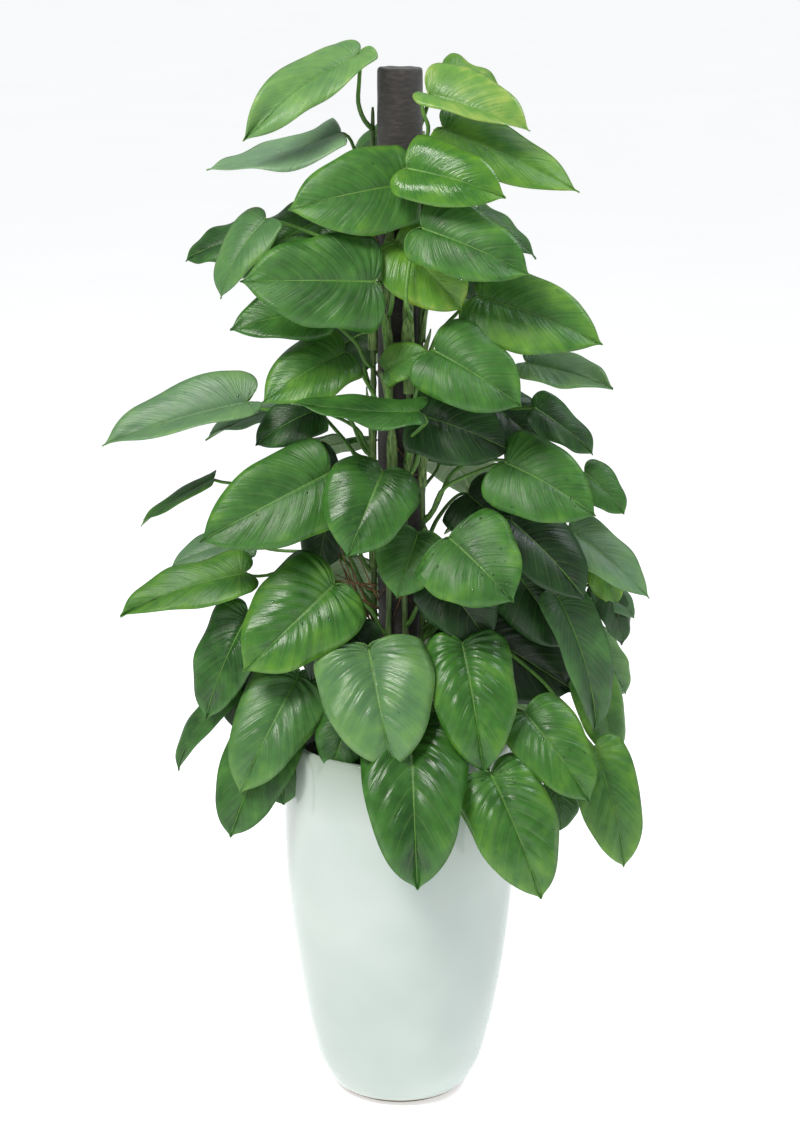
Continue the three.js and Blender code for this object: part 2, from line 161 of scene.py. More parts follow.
# Living leaf, underside: no wax, so it is duller, paler and a little olive, with raised veins.
def leaf_under():
    made, tree, shader = new_material("leaf_skin_under")
    tone, place, across, wave = leaf_plan(tree)
    patches = put(tree, "TexNoise", {"Vector": place, "Scale": 1000 / 30, "Detail": 2.0})
    shade = put(tree, "Math", {0: tone, 1: -0.15}, operation="ADD")
    shade = put(tree, "Math", {0: patches, 1: 0.3, 2: shade}, operation="MULTIPLY_ADD")
    colour = put(tree, "ValToRGB", {"Fac": shade}, [
        (0.0, "#2a4420"), (0.5, "#557c3a"), (1.0, "#a2b75c")])
    near = put(tree, "Math", {0: wave, 1: -7.0, 2: 1.0}, operation="MULTIPLY_ADD",
               use_clamp=True)
    near = put(tree, "Math", {0: near, 1: 0.4}, operation="MULTIPLY")
    midrib = put(tree, "Math", {0: across, 1: -12.0, 2: 1.2}, operation="MULTIPLY_ADD",
                 use_clamp=True)
    vein = put(tree, "Math", {0: near, 1: midrib}, operation="MAXIMUM")
    pale = put(tree, "Math", {0: vein, 1: 0.6}, operation="MULTIPLY")
    colour = put(tree, "Mix", {0: pale, 6: colour, 7: linear("#9db36a")}, data_type="RGBA")
    bump = put(tree, "Bump", {"Height": vein, "Strength": 0.4, "Distance": 0.0008})
    fill(tree, shader, {"Base Color": colour, "Normal": bump, "Roughness": 0.55, "IOR": 1.4})
    return made


# Fresh green stem and stalk: smooth skin, faint lengthwise streaks 2.4 mm apart, a satin shine.
def stem_skin(name, dark, light):
    made, tree, shader = new_material(name)
    place = put(tree, "TexCoord").outputs["Object"]
    stretched = put(tree, "Mapping", {"Vector": place, "Scale": (1.0, 1.0, 0.12)})
    streaks = put(tree, "TexNoise", {"Vector": stretched, "Scale": 420.0, "Detail": 2.0})
    patches = put(tree, "TexNoise", {"Vector": place, "Scale": 1000 / 45, "Detail": 2.0})
    blend = put(tree, "Math", {0: patches, 1: 0.5}, operation="MULTIPLY")
    blend = put(tree, "Math", {0: streaks, 1: 0.5, 2: blend}, operation="MULTIPLY_ADD")
    colour = put(tree, "ValToRGB", {"Fac": blend}, [(0.3, dark), (0.7, light)])
    bump = put(tree, "Bump", {"Height": streaks, "Strength": 0.2, "Distance": 0.0005})
    fill(tree, shader, {"Base Color": colour, "Normal": bump, "Roughness": 0.42, "IOR": 1.42})
    return made


# Stoneware under a thick celadon glaze: a hard clear shine over a pale green-white body, with
# the bare buff clay of the foot ring below.
def celadon():
    made, tree, shader = new_material("celadon_glaze")
    place = put(tree, "TexCoord").outputs["Object"]
    height = put(tree, "SeparateXYZ", {0: place}).outputs["Z"]
    clouds = put(tree, "TexNoise", {"Vector": place, "Scale": 1000 / 160, "Detail": 2.0})
    glaze = put(tree, "ValToRGB", {"Fac": clouds}, [(0.3, "#afbbb6"), (0.7, "#bbc5c0")])
    # Painted shade: the glaze is darker and greener just under the lip, where the leaves shade the
    # pot.
    painted_shade_under_lip = put(tree, "Math", {0: height, 1: 12.0, 2: -5.6}, operation="MULTIPLY_ADD",
                    use_clamp=True)
    painted_shade_under_lip = put(tree, "Math", {0: painted_shade_under_lip, 1: 0.65}, operation="MULTIPLY")
    glaze = put(tree, "Mix", {0: painted_shade_under_lip, 6: glaze, 7: linear("#7d8c78")}, data_type="RGBA")
    # It ends in a wavering line some 10 mm above the ground.
    wobble = put(tree, "TexNoise", {"Vector": place, "Scale": 1000 / 22, "Detail": 1.0})
    line = put(tree, "Math", {0: wobble, 1: 0.004, 2: height}, operation="MULTIPLY_ADD")
    bare = put(tree, "Math", {0: line, 1: -900.0, 2: 11.0}, operation="MULTIPLY_ADD",
               use_clamp=True)
    colour = put(tree, "Mix", {0: bare, 6: glaze, 7: linear("#54401f")}, data_type="RGBA")
    gloss = put(tree, "Math", {0: bare, 1: 0.6, 2: 0.13}, operation="MULTIPLY_ADD")
    pits = put(tree, "TexNoise", {"Vector": place, "Scale": 1000 / 9, "Detail": 2.0})
    bump = put(tree, "Bump", {"Height": pits, "Strength": 0.05, "Distance": 0.0006})
    fill(tree, shader, {"Base Color": colour, "Roughness": gloss, "Normal": bump, "IOR": 1.45,
                        "Coat Weight": 0.1, "Coat Roughness": 0.05})
    return made


# Coir cloth, needled and stained dark: matt, with cross ribs 3 mm apart and 1 mm fibres.
def coir():
    made, tree, shader = new_material("needled_coir_cloth")
    place = put(tree, "TexCoord").outputs["Object"]
    flat = put(tree, "Mapping", {"Vector": place, "Scale": (0.25, 0.25, 1.0)})
    blend = 0.0
    for vector, scale, detail, share in ((place, 1000 / 60, 2.0, 0.2), (place, 900.0, 3.0, 0.3),
                                         (flat, 330.0, 3.0, 0.5)):
        part = put(tree, "TexNoise", {"Vector": vector, "Scale": scale, "Detail": detail})
        blend = put(tree, "Math", {0: part, 1: share, 2: blend}, operation="MULTIPLY_ADD")
    colour = put(tree, "ValToRGB", {"Fac": blend}, [
        (0.3, "#161413"), (0.52, "#2c2826"), (0.72, "#474240")])
    bump = put(tree, "Bump", {"Height": blend, "Strength": 0.8, "Distance": 0.0016})
    fill(tree, shader, {"Base Color": colour, "Normal": bump, "Roughness": 0.92, "IOR": 1.4,
                        "Sheen Weight": 0.25, "Sheen Roughness": 0.6})
    return made


# Damp potting compost: near black, rough, with crumbs.
def compost():
    made, tree, shader = new_material("potting_compost")
    place = put(tree, "TexCoord").outputs["Object"]
    grains = put(tree, "TexNoise", {"Vector": place, "Scale": 1000 / 3, "Detail": 4.0})
    patches = put(tree, "TexNoise", {"Vector": place, "Scale": 1000 / 18, "Detail": 2.0})
    blend = put(tree, "Math", {0: patches, 1: 0.4}, operation="MULTIPLY")
    blend = put(tree, "Math", {0: grains, 1: 0.6, 2: blend}, operation="MULTIPLY_ADD")
    colour = put(tree, "ValToRGB", {"Fac": blend}, [
        (0.35, "#0f0c0a"), (0.55, "#241b15"), (0.72, "#473628")])
    bump = put(tree, "Bump", {"Height": blend, "Strength": 0.9, "Distance": 0.002})
    fill(tree, shader, {"Base Color": colour, "Normal": bump, "Roughness": 0.95})
    return made


# Drying leaf sheath and aerial root: papery and matt, with lengthwise streaks 2 mm apart.
def dry_skin(name, dark, light):
    made, tree, shader = new_material(name)
    place = put(tree, "TexCoord").outputs["Object"]
    stretched = put(tree, "Mapping", {"Vector": place, "Scale": (1.0, 1.0, 0.1)})
    streaks = put(tree, "TexNoise", {"Vector": stretched, "Scale": 1000 / 2, "Detail": 3.0})
    colour = put(tree, "ValToRGB", {"Fac": streaks}, [(0.35, dark), (0.65, light)])
    bump = put(tree, "Bump", {"Height": streaks, "Strength": 0.4, "Distance": 0.0006})
    fill(tree, shader, {"Base Color": colour, "Normal": bump, "Roughness": 0.75})
    return made


# Water: clear beads.
def water():
    made, tree, shader = new_material("water_bead")
    fill(tree, shader, {"Base Color": linear("#f4faf6"), "Roughness": 0.03, "IOR": 1.33,
                        "Transmission Weight": 1.0})
    return made


# Planed softwood: pale, with lengthwise grain 3.3 mm apart.
def softwood():
    made, tree, shader = new_material("planed_softwood")
    place = put(tree, "TexCoord").outputs["Object"]
    stretched = put(tree, "Mapping", {"Vector": place, "Scale": (1.0, 1.0, 0.05)})
    grain = put(tree, "TexNoise", {"Vector": stretched, "Scale": 300.0, "Detail": 3.0})
    colour = put(tree, "ValToRGB", {"Fac": grain}, [(0.35, "#8a6a45"), (0.65, "#c3a272")])
    fill(tree, shader, {"Base Color": colour, "Roughness": 0.7})
    return made


UPPER = leaf_upper()
UNDER = leaf_under()
STALK = stem_skin("leaf_stalk_skin", "#34601f", "#63903c")
STEM = stem_skin("climbing_stem_skin", "#31491f", "#67834a")
GLAZE = celadon()
COIR = coir()
COMPOST = compost()
SHEATH = dry_skin("dried_leaf_sheath", "#34521f", "#7c9a55")
ROOT = dry_skin("aerial_root_bark", "#4a3520", "#84653f")
WATER = water()
WOOD = softwood()


# ---------------------------------------------------------------- shared shaping
def smooth_through(knots, values, at):
    """Values at the places asked for, on a smooth line through the knots."""
    knots = np.asarray(knots, float)
    values = np.asarray(values, float)
    at = np.asarray(at, float)
    slopes = np.gradient(values, knots, axis=0)
    i = np.clip(np.searchsorted(knots, at) - 1, 0, len(knots) - 2)
    span = knots[i + 1] - knots[i]
    t = np.clip((at - knots[i]) / span, -0.5, 1.5)
    if values.ndim > 1:
        t, span = t[:, None], span[:, None]
    return ((2 * t**3 - 3 * t**2 + 1) * values[i] + (t**3 - 2 * t**2 + t) * span * slopes[i]
            + (3 * t**2 - 2 * t**3) * values[i + 1] + (t**3 - t**2) * span * slopes[i + 1])


def unit(v):
    v = np.asarray(v, float)
    return v / np.linalg.norm(v, axis=-1, keepdims=True)


def only(obj):
    bpy.ops.object.select_all(action="DESELECT")
    obj.select_set(True)
    bpy.context.view_layer.objects.active = obj
    return obj


def apply_all(obj):
    only(obj)
    for modifier in list(obj.modifiers):
        bpy.ops.object.modifier_apply(modifier=modifier.name)
    return obj


def joined(objects, name):
    bpy.ops.object.select_all(action="DESELECT")
    for obj in objects:
        obj.select_set(True)
    bpy.context.view_layer.objects.active = objects[0]
    if len(objects) > 1:
        bpy.ops.object.join()
    made = bpy.context.view_layer.objects.active
    made.name = name
    made.data.name = name
    return made


def outward(obj):
    """Merges doubles and turns all faces outwards."""
    only(obj)
    bpy.ops.object.mode_set(mode="EDIT")
    bpy.ops.mesh.select_all(action="SELECT")
    bpy.ops.mesh.remove_doubles(threshold=0.00001)
    bpy.ops.mesh.normals_make_consistent(inside=False)
    bpy.ops.object.mode_set(mode="OBJECT")
    return obj


def tube(points, radii, material, sides=8):
    """A round tube along points, in metres, closed at both ends."""
    line = bpy.data.curves.new("tube", "CURVE")
    line.dimensions = "3D"
    line.bevel_depth = 1.0
    line.bevel_resolution = max(0, sides // 4 - 1)
    line.use_fill_caps = True
    spline = line.splines.new("POLY")
    spline.points.add(len(points) - 1)
    for point, place, radius in zip(spline.points, points, radii):
        point.co = (*[float(c) for c in place], 1.0)
        point.radius = float(radius)
    obj = bpy.data.objects.new("tube", line)
    bpy.context.scene.collection.objects.link(obj)
    only(obj)
    bpy.ops.object.convert(target="MESH")
    obj = bpy.context.view_layer.objects.active
    obj.data.materials.clear()
    obj.data.materials.append(material)
    bpy.ops.object.shade_smooth()
    return outward(obj)


def turned(name, profile, steps, material):
    """A profile of (radius, height) in millimetres turned about the pole's axis."""
    mesh = bpy.data.meshes.new(name)
    mesh.from_pydata([(r * MM, 0, z * MM) for r, z in profile],
                     [(i, i + 1) for i in range(len(profile) - 1)], [])
    obj = bpy.data.objects.new(name, mesh)
    bpy.context.scene.collection.objects.link(obj)
    only(obj)
    screw = obj.modifiers.new("turn", "SCREW")
    screw.steps = screw.render_steps = steps
    screw.use_merge_vertices = True
    apply_all(obj)
    outward(obj)
    obj.data.materials.append(material)
    bpy.ops.object.shade_smooth_by_angle(angle=math.radians(50))
    return obj


def finish(obj, slot, *replaced):
    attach(obj, "root")
    if replaced:
        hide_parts(*replaced)
    return obj


# ---------------------------------------------------------------- pot, soil and pole
POT_LOW, POT_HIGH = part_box("pot")
BELLY = (POT_HIGH[0] - POT_LOW[0]) / 2 / MM
POT_HEIGHT = POT_HIGH[2] / MM
# Share of the belly's radius and share of the height, up the outside from foot to lip.
POT_CURVE = [
    (0.43, 0), (0.515, 0.003), (0.56, 0.011), (0.61, 0.025), (0.69, 0.071), (0.775, 0.161),
    (0.865, 0.295), (0.935, 0.446), (0.983, 0.607), (1, 0.768), (1, 0.87), (0.986, 0.946),
    (0.975, 0.982),
]
OUTSIDE = [(share * BELLY, level * POT_HEIGHT) for share, level in POT_CURVE]
POT_WALL = 12
LIP = round(POT_HEIGHT)
SOIL_TOP, SOIL_REACH, CRUMBS = 516, 157.8, 150


def make_pot():
    """The turned pot: foot ring, outer wall, rounded lip, inner wall and floor."""
    radii, levels = zip(*OUTSIDE[3:])
    fine = np.linspace(levels[0], levels[-1], 60)
    wall = list(zip(smooth_through(levels, radii, fine), fine))
    inner = [(max(r - POT_WALL, 90), z) for r, z in reversed(wall) if z > 30]
    lip = [(167.6, 555), (165.4, 558.6), (162.3, 560), (159.5, 559.2), (157.4, 556.6)]
    foot = [(0, 4), (66, 4), (72, 2), (76, 0), (84, 0)]
    profile = foot + OUTSIDE[1:3] + wall + lip + inner + [(88, 24), (70, 22), (0, 22)]
    return finish(turned("glazed_pot", profile, 128, GLAZE), "glaze", "pot")


def make_soil():
    """The bed of compost with a lumpy top, and loose crumbs on it."""
    dice = random.Random(4)
    profile = [(0, 40), (98, 40), (118, 80), (140, 180), (156, 350), (157.5, 505)]
    profile += [(SOIL_REACH * (1 - i / 34), SOIL_TOP + 4 * i / 34) for i in range(35)]
    bed = turned("bed", profile, 96, COMPOST)
    for vertex in bed.data.vertices:
        if vertex.co.z > 0.51:
            lump = noise.noise(vertex.co * 60) * 3.5 + noise.noise(vertex.co * 170) * 2.0
            vertex.co.z += (lump - 0.5) * MM
    crumbs = [bed]
    for _ in range(CRUMBS):
        bearing, reach = dice.uniform(0, 2 * math.pi), dice.uniform(48, 150)
        size = dice.uniform(2.5, 6.5) * MM
        bpy.ops.mesh.primitive_ico_sphere_add(subdivisions=1, radius=size, location=(
            reach * MM * math.cos(bearing), reach * MM * math.sin(bearing), 0.519))
        crumb = bpy.context.view_layer.objects.active
        for vertex in crumb.data.vertices:
            vertex.co = Vector((vertex.co.x * dice.uniform(0.7, 1.5),
                                vertex.co.y * dice.uniform(0.7, 1.3),
                                vertex.co.z * dice.uniform(0.4, 0.8)))
        crumb.rotation_euler = (0, 0, dice.uniform(0, 6))
        bpy.ops.object.transform_apply(location=True, rotation=True, scale=True)
        crumb.data.materials.append(COMPOST)
        crumbs.append(crumb)
    return finish(joined(crumbs, "potting_soil"), "soil", "soil")


SLEEVE_RADIUS, LAP_BEARING = 32.4, 2.4


def make_sleeve():
    """The cloth round the pole, uneven by half a millimetre, with its top folded in."""
    levels = [26] + list(range(520, 1522, 7)) + [1526, 1530]
    profile = [(0, 25)] + [(SLEEVE_RADIUS, z) for z in levels]
    profile += [(31.6, 1533), (29.5, 1534.6), (26, 1534.2), (22, 1532.4), (0, 1531.6)]
    sleeve = turned("pole_sleeve", profile, 96, COIR)
    for vertex in sleeve.data.vertices:
        flat = Vector((vertex.co.x, vertex.co.y, 0))
        if flat.length < 0.02 or vertex.co.z < 0.3:
            continue
        stretched = Vector((vertex.co.x, vertex.co.y, vertex.co.z * 0.6))
        swell = noise.noise(stretched * 70) * 0.5 + noise.noise(stretched * 26) * 0.7
        bearing = math.atan2(vertex.co.y, vertex.co.x)
        # The cloth laps over itself down the back, on the left.
        lap = 0.9 * max(0.0, 1 - (LAP_BEARING - bearing) / 0.5) if bearing < LAP_BEARING else 0.0
        vertex.co += flat.normalized() * (swell + lap - 0.5) * MM
        if vertex.co.z > 1.52:
            vertex.co.z += 1.1 * MM * noise.noise(vertex.co * 55)
    return finish(sleeve, "coir_cloth", "pole_wrap")


# ---------------------------------------------------------------- climbing stems
def vine_line(name):
    """The middle line of a vine, from the levels of its CAD solid."""
    mesh = NODES[name].data
    places = np.empty(len(mesh.vertices) * 3)
    mesh.vertices.foreach_get("co", places)
    places = np.unique(np.round(places.reshape(-1, 3), 6), axis=0)
    levels = {}
    for place in places:
        levels.setdefault(round(float(place[2]), 4), []).append(place)
    rings = [np.mean(np.unique(ring, axis=0), axis=0) for _, ring in sorted(levels.items())]
    return np.array(rings)


VINE_NAMES = ["vine_left", "vine_frontLeft", "vine_front", "vine_right", "vine_back"]
VINE_LINES = {name: vine_line(name) for name in VINE_NAMES}


def on_vine(name, height):
    line = VINE_LINES[name]
    return smooth_through(line[:, 2], line, [height])[0]


STEM_RADIUS, JOINT_SWELL = 5.0, 1.1  # millimetres
FIRST_JOINT, JOINT_GAPS = 0.53, (0.055, 0.075)  # metres


def make_vine(name, seed):
    """A stem that thins upwards, with a swollen joint every 55 to 75 mm."""
    dice = random.Random(seed)
    line = VINE_LINES[name]
    joints = [FIRST_JOINT]
    while joints[-1] < line[-1, 2]:
        joints.append(joints[-1] + dice.uniform(*JOINT_GAPS))
    heights = np.arange(line[0, 2], line[-1, 2], 0.008)
    points = smooth_through(line[:, 2], line, heights)
    share = (heights - line[0, 2]) / (line[-1, 2] - line[0, 2])
    radii = STEM_RADIUS * (1 - 0.35 * share)
    for joint in joints:
        radii += JOINT_SWELL * np.exp(-((heights - joint) / 0.006) ** 2)
    radii[-5:] *= np.linspace(1, 0.45, 5)
    stem = tube(points, radii * MM, STEM, 12)
    return finish(joined([stem], "stem_" + name[5:]), "stem", name)


# ---------------------------------------------------------------- leaves
ALONG = [0.02, 0.12, 0.3, 0.52, 0.74, 0.9, 1.0]
# The heart shape. For each side vein, from the sinus to the tip: how far across and along the
# blade it meets the margin, and how far along the midrib it starts.
HEART = [
    (0.0, 0.02, 0.0, 0.0), (0.03, 0.1, -0.06, 0.002), (0.06, 0.25, -0.115, 0.005),
    (0.1, 0.47, -0.135, 0.01), (0.15, 0.72, -0.11, 0.015), (0.21, 0.9, -0.04, 0.02),
    (0.29, 0.985, 0.08, 0.03), (0.38, 1.0, 0.22, 0.06), (0.48, 0.97, 0.38, 0.125),
    (0.6, 0.875, 0.55, 0.24), (0.72, 0.695, 0.705, 0.385), (0.82, 0.475, 0.82, 0.54),
    (0.89, 0.28, 0.893, 0.68), (0.94, 0.125, 0.94, 0.8), (0.975, 0.045, 0.97, 0.9),
    (1.0, 0.006, 1.0, 1.0),
]


STALK_FOOT = (0.0034, 0.0038)  # the corners of a CAD stalk's foot lie this far from its middle


def leaf_frame_of(node):
    """The stalk's middle line and the blade's ribs, read from a CAD leaf."""
    bm = bmesh.new()
    bm.from_mesh(node.data)
    bmesh.ops.remove_doubles(bm, verts=bm.verts, dist=2e-6)
    seen = set()
    foot = None
    for start in bm.faces:
        if start in seen:
            continue
        group, queue = {start}, [start]
        while queue:
            face = queue.pop()
            for edge in face.edges:
                for other in edge.link_faces:
                    if other not in group and other.normal.dot(start.normal) > 0.9999:
                        group.add(other)
                        queue.append(other)
        seen |= group
        corners = {v for face in group for v in face.verts}
        if len(group) == 6 and len(corners) == 8:
            middle = sum((v.co for v in corners), Vector()) / 8
            reach = [(v.co - middle).length for v in corners]
            if STALK_FOOT[0] < min(reach) and max(reach) < STALK_FOOT[1]:
                foot = corners
    rings, ring, done = [], foot, set(foot)
    while ring:
        rings.append(np.array([v.co for v in ring]))
        ring = {e.other_vert(v) for v in ring for e in v.link_edges} - done
        done |= ring
    bm.free()
    assert len(rings) == 12 and all(len(r) == 8 for r in rings), node.name
    stalk = np.array([r.mean(0) for r in rings[:5]])
    centres, ups, sides, reaches, cups = [], [], [], [], []
    for ring in rings[5:]:
        gaps = np.linalg.norm(ring[:, None] - ring[None], axis=2)
        a, b = np.unravel_index(gaps.argmax(), gaps.shape)
        side = unit(ring[b] - ring[a])
        middle = (ring[a] + ring[b]) / 2
        place = np.abs((ring - middle) @ side)
        mid = ring[np.argsort(place)[:2]]
        centres.append(mid.mean(0))
        ups.append(unit(mid[1] - mid[0]))
        sides.append(side)
        reaches.append(gaps.max() / 2)
        cups.append(middle)
    centres, ups, sides = np.array(centres), np.array(ups), np.array(sides)
    if ups[0] @ (stalk[3] - centres[0]) > 0:
        ups[0] *= -1
    for i in range(1, 7):
        if ups[i] @ ups[i - 1] < 0:
            ups[i] *= -1
    heading = np.gradient(centres, ALONG, axis=0)
    for i in range(7):
        if sides[i] @ np.cross(heading[i], ups[i]) < 0:
            sides[i] *= -1
    lift = (cups[2] - centres[2]) @ ups[2] / reaches[2]
    return {"stalk": stalk, "centres": centres, "ups": ups, "sides": sides,
            "reach": reaches[2], "cup": lift + 0.1}


ARCH, CUP = math.radians(18), 0.08


def leaf_frame_from(vine, joins, base, tip, width, faces):
    """The same for a leaf that has no CAD solid. Places in millimetres, heights from the lip."""
    base = (np.array(base) + (0, 0, LIP)) * MM
    tip = (np.array(tip) + (0, 0, LIP)) * MM
    chord, length = unit(tip - base), np.linalg.norm(tip - base)
    bearing, lift = (math.radians(a) for a in faces)
    normal = np.array([math.sin(bearing) * math.cos(lift), -math.cos(bearing) * math.cos(lift),
                       math.sin(lift)])
    normal = unit(normal - chord * (normal @ chord))

    def lean(angle):
        return chord * math.cos(angle) + normal * math.sin(angle)

    first, last = base + lean(ARCH) * length / 3, tip - lean(-ARCH) * length / 3
    t = np.array(ALONG)[:, None]
    centres = ((1 - t) ** 3 * base + 3 * (1 - t) ** 2 * t * first + 3 * (1 - t) * t**2 * last
               + t**3 * tip)
    headings = unit(3 * (1 - t) ** 2 * (first - base) + 6 * (1 - t) * t * (last - first)
                    + 3 * t**2 * (tip - last))
    ups = unit(normal - headings * (headings @ normal)[:, None])
    axis = on_vine("vine_" + vine, (LIP + joins) * MM)
    away = unit(np.array([axis[0], axis[1], 0]))
    aim = base - axis
    aim[2] = 0
    aim = unit(unit(aim) + away * max(0.15, 0.6 - unit(aim) @ away))
    foot = axis + aim * 0.006
    rise = np.linalg.norm(base - foot) * 0.33
    stalk = np.array([foot, foot + unit(np.array([0, 0, 1]) + 0.55 * aim) * rise,
                      base - lean(ARCH + math.radians(50)) * 0.018])
    return {"stalk": stalk, "centres": centres, "ups": ups, "sides": np.cross(headings, ups),
            "reach": width * MM / 2, "cup": CUP}


def blade_places(form, u, v, look, dice):
    """Places of the blade's skin for shares across (-1 to 1) and along (0 to 1)."""
    across = np.abs(u)
    sign = np.sign(u)
    knots, xs, ys, ms = np.array(HEART).T
    x_edge = np.clip(smooth_through(knots, xs, v), 0, 1.02)
    y_edge = smooth_through(knots, ys, v)
    y_rib = np.clip(smooth_through(knots, ms, v), 0, 1)
    lobes = {-1: look.get("left_lobe", dice.uniform(0.3, 0.85)),
             1: look.get("right_lobe", dice.uniform(0.3, 0.85))}
    y_edge = np.where(y_edge < 0, y_edge * np.where(u < 0, lobes[-1], lobes[1]), y_edge)
    lean = dice.uniform(-0.05, 0.05)
    uneven = np.array([noise.noise(Vector((s * 4, b * 4.2, lean * 90))) for s, b in zip(sign, v)])
    x = x_edge * across * (1 + lean * sign) * (1 + 0.12 * uneven * across * (1 - v**6))
    bow = np.where(y_edge > y_rib, 1.4, 0.9)
    y = y_rib + (y_edge - y_rib) * across**bow
    reach, cup = form["reach"] * look.get("slim", 1.0), form["cup"]
    ahead = np.clip(y, 0, 1)
    centres = smooth_through(ALONG, form["centres"], ahead)
    ups = unit(smooth_through(ALONG, form["ups"], ahead))
    sides = unit(smooth_through(ALONG, form["sides"], ahead))
    heading = unit(form["centres"][1] - form["centres"][0])
    length = np.linalg.norm(np.diff(form["centres"], axis=0), axis=1).sum()
    lift = reach * (cup * x - 0.1 * x * x)
    # The halves fold up a little from the midrib, which lies in a groove.
    fold = look.get("fold", dice.uniform(0.0, 0.08))
    lift += reach * fold * (1 - np.exp(-x / 0.25)) * (1 - v) ** 0.5
    lift -= 1.3 * MM * np.exp(-((across / 0.07) ** 2)) * (1 - v**4)
    # Each half swells into a shallow pillow of its own.
    pillow = dice.uniform(0.03, 0.1)
    lift += reach * pillow * np.sin(math.pi * np.clip(x, 0, 1)) * (1 - v**3)
    # Quilting between the side veins.
    quilt = look.get("quilt", 0.65) * 0.03 * reach
    drift = dice.uniform(0, 50)
    rough = np.array([noise.noise(Vector((a * 1.3 + (9 if s > 0 else 0), b * 5.5, drift)))
                      for a, s, b in zip(across, sign, v)])
    bulge = np.sin(math.pi * (v * VEINS + 0.5 * rough)) ** 2
    veil = (1 - np.exp(-across / 0.12)) * (1 - across**3) * (1 - v**5)
    lift += quilt * (0.75 + 1.1 * rough) * bulge**0.6 * veil
    swell = np.array([noise.noise(Vector((a * 1.6 * s, b * 2.2, drift + 7)))
                      for a, s, b in zip(across, sign, v)])
    lift += look.get("swell", 0.1) * reach * swell * across
    # Waves along the margin.
    wave = look.get("wave", dice.uniform(0.05, 0.12))
    for side_sign in (-1, 1):
        turns, phase = dice.uniform(1.8, 3.6), dice.uniform(0, 6.28)
        rolling = np.sin(2 * math.pi * turns * v + phase) * across**2.6 * (1 - v**3)
        lift += np.where(sign == side_sign, wave * reach * rolling, 0)
    # The margin rolls down, and the drip tip curls.
    lift -= reach * 0.05 * across**5 * (1 - v**4)
    curl = np.clip((v - 0.8) / 0.2, 0, 1)
    lift -= length * dice.uniform(0.01, 0.07) * curl**2
    places = centres + sides * (x * sign * reach)[:, None] + ups * lift[:, None]
    places += heading * (np.minimum(y, 0) * length)[:, None]
    return places


COLUMNS, ROWS = 22, 72
BLADE_WALL = 0.8


def make_blade(form, look, seed):
    """A grid laid on the ribs of the leaf, with the underside added as a thin wall."""
    dice = random.Random(seed)
    bpy.ops.mesh.primitive_grid_add(x_subdivisions=COLUMNS, y_subdivisions=ROWS, size=2.0,
                                    calc_uvs=True)
    blade = bpy.context.view_layer.objects.active
    mesh = blade.data
    flat = np.empty(len(mesh.vertices) * 3)
    mesh.vertices.foreach_get("co", flat)
    flat = flat.reshape(-1, 3)
    u = np.sign(flat[:, 0]) * np.abs(flat[:, 0]) ** 1.25
    places = blade_places(form, u, (flat[:, 1] + 1) / 2, look, dice)
    mesh.vertices.foreach_set("co", places.ravel())
    mesh.update()
    # The grid's own upper side has to come out as the blade's.
    middle = mesh.polygons[len(mesh.polygons) // 2]
    if np.array(middle.normal) @ form["ups"][3] < 0:
        mesh.flip_normals()
    mesh.materials.append(UPPER)
    mesh.materials.append(UNDER)
    wall = blade.modifiers.new("thickness", "SOLIDIFY")
    wall.thickness = BLADE_WALL * MM
    wall.offset = -1.0
    wall.material_offset = 1
    apply_all(blade)
    bpy.ops.object.shade_smooth()
    return blade


def make_stalk(form):
    """The stalk, thicker at its foot and at the bend, running on as the rib under the blade."""
    centres, ups = form["centres"], form["ups"]
    base = centres[0] - (centres[1] - centres[0]) * 0.2 - ups[0] * 0.0012
    foot = form["stalk"][0]
    stems = [on_vine(name, foot[2] - 0.005) for name in VINE_NAMES]
    stem = min(stems, key=lambda place: np.linalg.norm(place - foot))
    path = np.vstack([stem[None], form["stalk"], base[None]])
    steps = np.r_[0, np.cumsum(np.linalg.norm(np.diff(path, axis=0), axis=1))]
    fine = np.linspace(0, steps[-1], max(14, int(steps[-1] / 0.012)))
    line = smooth_through(steps, path, fine)
    share = fine / steps[-1]
    radii = 3.6 - 1.2 * share + 0.8 * np.exp(-(share / 0.06) ** 2)
    radii += 0.35 * np.exp(-(((share - 1) * steps[-1]) / 0.012) ** 2)
    at = np.linspace(0.03, 0.93, 12)
    under = smooth_through(ALONG, centres, at) - smooth_through(ALONG, ups, at) * 0.0019
    line = np.vstack([line, under])
    radii = np.r_[radii, np.linspace(2.2, 0.35, 12)]
    return tube(line, radii * MM, STALK)


WETTED = []  # place, normal and size of each water bead


def make_leaf(name, form, look, seed, slot="leaf", replaced=()):
    """A blade and its stalk as one piece, coloured by its look."""
    blade = make_blade(form, look, seed)
    dice = random.Random(seed + 500)
    skin = [v for v in blade.data.vertices if np.array(v.normal) @ form["ups"][3] > 0.3]
    for vertex in dice.sample(skin, look.get("drops", 0)):
        WETTED.append((vertex.co.copy(), vertex.normal.copy(), dice.uniform(1.0, 2.3)))
    leaf = joined([blade, make_stalk(form)], name)
    count = len(leaf.data.vertices)
    for attribute in ("tone", "grey", "wax"):
        layer = leaf.data.attributes.new(attribute, "FLOAT", "POINT")
        layer.data.foreach_set("value", [look.get(attribute, 0.0)] * count)
    return finish(leaf, slot, *replaced)
